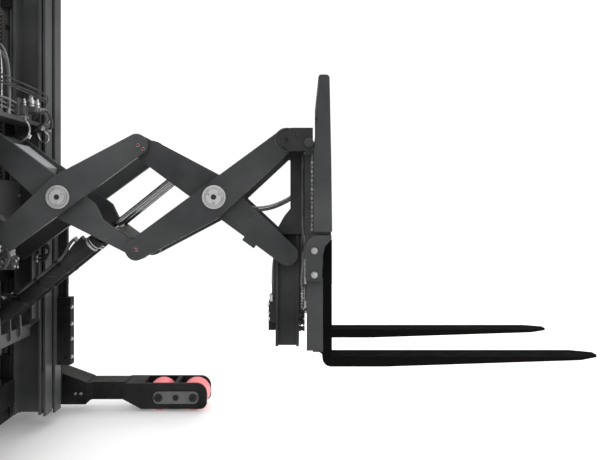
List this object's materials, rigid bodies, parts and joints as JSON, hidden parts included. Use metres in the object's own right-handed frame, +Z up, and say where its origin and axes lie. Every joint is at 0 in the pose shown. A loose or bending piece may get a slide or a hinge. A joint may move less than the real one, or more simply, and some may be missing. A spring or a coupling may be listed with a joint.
{
  "type": "reach truck",
  "caption": "Stand-up reach truck with a three-stage mast, a double pantograph reach, tilting forks and a hollow operator compartment.",
  "frame": {"origin": "on the floor under the middle of the truck's overall box", "axes": "+X towards the fork tips, +Y to the truck's left side, +Z up"},
  "size_m": [4.0052, 1.2, 2.7],
  "materials": {
    "frame_paint": "satin",
    "mast_paint": "satin",
    "arm_paint": "satin",
    "chrome_rod": "polished",
    "zinc": "satin",
    "chain_steel": "oiled",
    "fork_steel": "matte",
    "load_wheel": "matte",
    "drive_tyre": "matte",
    "body_paint": "satin",
    "guard_paint": "satin",
    "battery_case": "matte",
    "drive_casting": "matte",
    "rubber_mat": "matte",
    "pad_vinyl": "matte",
    "tiller_plastic": "matte"
  },
  "bodies": {
    "root": {"base_frame": "frame_paint", "base_leg_left": "frame_paint", "base_leg_right": "frame_paint", "load_wheel_axles": "zinc", "mast_feet": "frame_paint", "outer_mast_rails": "mast_paint", "outer_mast_ties": "frame_paint", "lift_cylinder_barrels": "mast_paint", "battery": "battery_case", "battery_gates": "body_paint", "power_unit_housing": "body_paint", "chassis": "frame_paint", "drive_cabinet": "body_paint", "side_wall": "body_paint", "floor_mat": "rubber_mat", "side_pad": "pad_vinyl", "guard_posts": "guard_paint", "overhead_guard": "guard_paint"},
    "load_wheel_front_left": {"load_wheel_front_left": "load_wheel"},
    "load_wheel_front_right": {"load_wheel_front_right": "load_wheel"},
    "load_wheel_rear_left": {"load_wheel_rear_left": "load_wheel"},
    "load_wheel_rear_right": {"load_wheel_rear_right": "load_wheel"},
    "drive_unit": {"drive_unit": "drive_casting"},
    "drive_wheel": {"drive_wheel": "drive_tyre"},
    "caster_yoke": {"caster_yoke": "frame_paint"},
    "caster_wheels": {"caster_wheels": "drive_tyre"},
    "steering_tiller": {"steering_tiller": "tiller_plastic"},
    "service_door": {"service_door": "body_paint"},
    "battery_cover": {"battery_cover": "body_paint"},
    "mid_mast": {"mid_mast_rails": "mast_paint", "mid_mast_ties": "frame_paint", "lift_cylinder_rods": "chrome_rod"},
    "inner_mast": {"inner_mast_rails": "mast_paint", "inner_mast_ties": "frame_paint", "free_lift_barrel": "mast_paint"},
    "free_lift_crosshead": {"free_lift_crosshead": "chrome_rod", "lift_chains": "chain_steel"},
    "lift_carriage": {"lift_carriage": "mast_paint", "valve_block": "zinc"},
    "rear_inner_arms": {"rear_inner_arms": "arm_paint", "rear_pivot_pin": "zinc"},
    "rear_outer_arms": {"rear_outer_arms": "arm_paint"},
    "front_inner_arms": {"front_inner_arms": "arm_paint", "front_pivot_pin": "zinc"},
    "front_outer_arms": {"front_outer_arms": "arm_paint"},
    "reach_cylinder_barrels": {"reach_cylinder_barrels": "arm_paint"},
    "reach_cylinder_rods": {"reach_cylinder_rods": "chrome_rod"},
    "reach_frame": {"reach_frame": "mast_paint", "tilt_cylinder": "mast_paint"},
    "tilt_rod": {"tilt_rod": "chrome_rod"},
    "fork_carriage": {"fork_carriage": "mast_paint", "load_backrest": "mast_paint", "fork_left": "fork_steel", "fork_right": "fork_steel"}
  },
  "joints": [
    {"name": "load_wheel_front_left_roll", "type": "hinge", "parent": "root", "child": "load_wheel_front_left", "pos_m": [0.22138, 0.53, 0.076], "axis": [0, 1, 0], "continuous": true},
    {"name": "load_wheel_rear_left_roll", "type": "hinge", "parent": "root", "child": "load_wheel_rear_left", "pos_m": [0.03538, 0.53, 0.076], "axis": [0, 1, 0], "continuous": true},
    {"name": "load_wheel_front_right_roll", "type": "hinge", "parent": "root", "child": "load_wheel_front_right", "pos_m": [0.22138, -0.53, 0.076], "axis": [0, 1, 0], "continuous": true},
    {"name": "load_wheel_rear_right_roll", "type": "hinge", "parent": "root", "child": "load_wheel_rear_right", "pos_m": [0.03538, -0.53, 0.076], "axis": [0, 1, 0], "continuous": true},
    {"name": "steering", "type": "hinge", "parent": "root", "child": "drive_unit", "pos_m": [-1.77262, 0.3, 0.165], "axis": [0, 0, 1], "range_deg": [-90, 90]},
    {"name": "drive_wheel_roll", "type": "hinge", "parent": "drive_unit", "child": "drive_wheel", "pos_m": [-1.77262, 0.3, 0.165], "axis": [0, 1, 0], "continuous": true},
    {"name": "caster_swivel", "type": "hinge", "parent": "root", "child": "caster_yoke", "pos_m": [-1.84261, -0.32, 0.075], "axis": [0, 0, 1], "continuous": true},
    {"name": "caster_wheels_roll", "type": "hinge", "parent": "caster_yoke", "child": "caster_wheels", "pos_m": [-1.88261, -0.32, 0.075], "axis": [0, 1, 0], "continuous": true},
    {"name": "tiller_turn", "type": "hinge", "parent": "root", "child": "steering_tiller", "pos_m": [-1.69261, 0.33, 1.12], "axis": [0, 0, 1], "range_deg": [-135, 135]},
    {"name": "service_door_hinge", "type": "hinge", "parent": "root", "child": "service_door", "pos_m": [-2.00262, 0.56, 0.235], "axis": [0, 0, -1], "range_deg": [0, 110]},
    {"name": "battery_cover_hinge", "type": "hinge", "parent": "root", "child": "battery_cover", "pos_m": [-1.25462, 0, 0.93], "axis": [0, -1, 0], "range_deg": [0, 85]},
    {"name": "mast_lift", "type": "slide", "parent": "root", "child": "mid_mast", "axis": [0, 0, 1], "range_m": [0, 1.9]},
    {"name": "inner_mast_lift", "type": "slide", "parent": "mid_mast", "child": "inner_mast", "axis": [0, 0, 1], "range_m": [0, 1.9]},
    {"name": "free_lift", "type": "slide", "parent": "inner_mast", "child": "lift_carriage", "axis": [0, 0, 1], "range_m": [-0.43, 1]},
    {"name": "crosshead_lift", "type": "slide", "parent": "inner_mast", "child": "free_lift_crosshead", "axis": [0, 0, 1], "range_m": [-0.22, 0.505]},
    {"name": "reach_retract", "type": "hinge", "parent": "lift_carriage", "child": "rear_inner_arms", "pos_m": [-0.52761, 0, 1.389], "axis": [0, 1, 0], "range_deg": [0, 39]},
    {"name": "rear_scissor", "type": "hinge", "parent": "rear_inner_arms", "child": "rear_outer_arms", "pos_m": [-0.22035, 0, 1.1472], "axis": [0, 1, 0], "range_deg": [-78, 0]},
    {"name": "lower_scissor", "type": "hinge", "parent": "rear_inner_arms", "child": "front_outer_arms", "pos_m": [0.11, 0, 0.92522], "axis": [0, 1, 0], "range_deg": [-78, 0]},
    {"name": "upper_scissor", "type": "hinge", "parent": "rear_outer_arms", "child": "front_inner_arms", "pos_m": [0.11, 0, 1.36919], "axis": [0, 1, 0], "range_deg": [0, 78]},
    {"name": "reach_frame_level", "type": "hinge", "parent": "front_outer_arms", "child": "reach_frame", "pos_m": [0.74762, 0, 1.389], "axis": [0, 1, 0], "range_deg": [0, 39]},
    {"name": "reach_cylinder_swing", "type": "hinge", "parent": "lift_carriage", "child": "reach_cylinder_barrels", "pos_m": [-0.52761, 0, 0.612], "axis": [0, 1, 0], "range_deg": [-27.07, 0]},
    {"name": "reach_cylinder_stroke", "type": "slide", "parent": "reach_cylinder_barrels", "child": "reach_cylinder_rods", "axis": [0.779, 0, 0.627], "range_m": [-0.38965, 0]},
    {"name": "fork_tilt", "type": "hinge", "parent": "reach_frame", "child": "fork_carriage", "pos_m": [0.84162, 0, 1.376], "axis": [0, 1, 0], "range_deg": [-4, 2]},
    {"name": "tilt_cylinder_stroke", "type": "slide", "parent": "reach_frame", "child": "tilt_rod", "axis": [1, 0, 0], "range_m": [-0.03, 0.06]}
  ],
  "couplings": [
    {"joint": "tiller_turn", "follows": "steering", "ratio": 1.5},
    {"joint": "inner_mast_lift", "follows": "mast_lift", "ratio": 1},
    {"joint": "crosshead_lift", "follows": "free_lift", "ratio": 0.5},
    {"joint": "rear_scissor", "follows": "reach_retract", "ratio": -2},
    {"joint": "lower_scissor", "follows": "reach_retract", "ratio": -2},
    {"joint": "upper_scissor", "follows": "reach_retract", "ratio": 2},
    {"joint": "reach_frame_level", "follows": "reach_retract", "ratio": 1},
    {"joint": "reach_cylinder_swing", "follows": "reach_retract", "ratio": -0.6939},
    {"joint": "reach_cylinder_stroke", "follows": "reach_retract", "m_per_rad": -0.57098},
    {"joint": "tilt_cylinder_stroke", "follows": "fork_tilt", "m_per_rad": -0.736}
  ]
}
